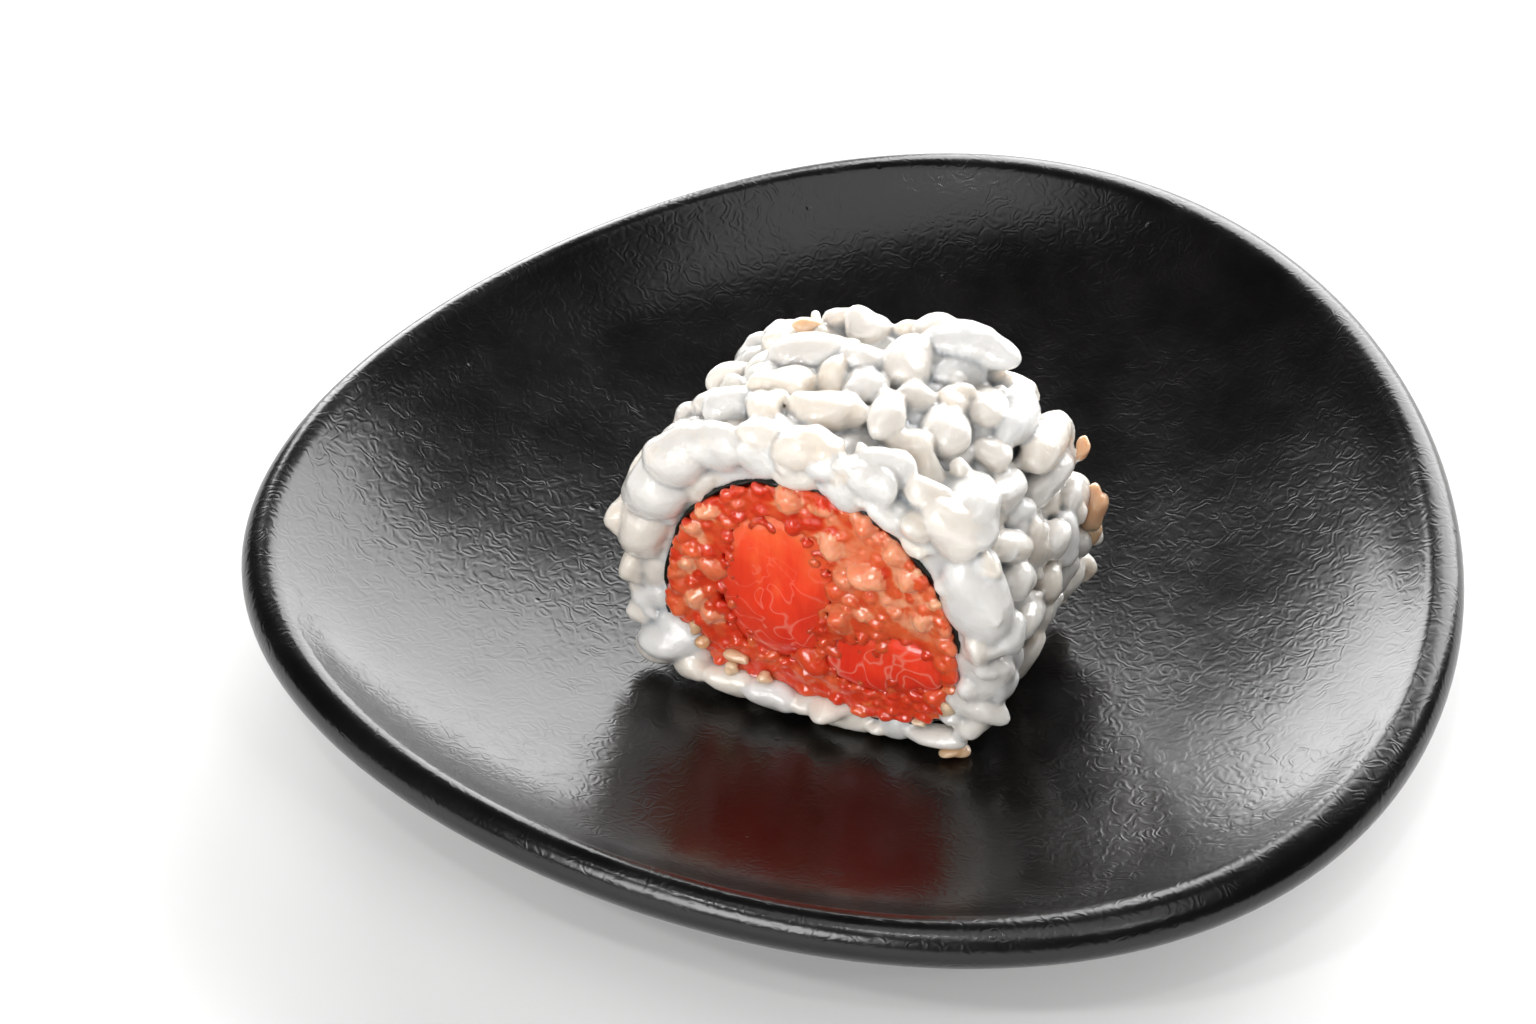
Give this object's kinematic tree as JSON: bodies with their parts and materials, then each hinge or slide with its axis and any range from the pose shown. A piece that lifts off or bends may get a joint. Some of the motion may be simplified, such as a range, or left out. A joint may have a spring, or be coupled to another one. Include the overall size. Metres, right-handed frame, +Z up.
{
  "type": "uramaki roll",
  "caption": "Thick-cut uramaki roll, rice on the outside and nori-wrapped chopped salmon inside, resting in a shallow egg-shaped black stoneware dish.",
  "frame": {"origin": "on the table, under the middle of the dish's length and width", "axes": "+X towards the blunt end of the dish, +Y away from the diner, +Z up"},
  "size_m": [0.112, 0.105, 0.0406],
  "materials": {
    "stoneware": "satin black glaze",
    "rice": "moist cooked rice",
    "nori": "damp seaweed sheet",
    "salmon_mash": "moist chopped fish",
    "salmon": "wet raw fish"
  },
  "bodies": {
    "root": {"dish": "stoneware", "rice_jacket": "rice", "nori_sheet": "nori", "chopped_salmon": "salmon_mash", "salmon_left": "salmon", "salmon_right": "salmon"}
  },
  "joints": []
}
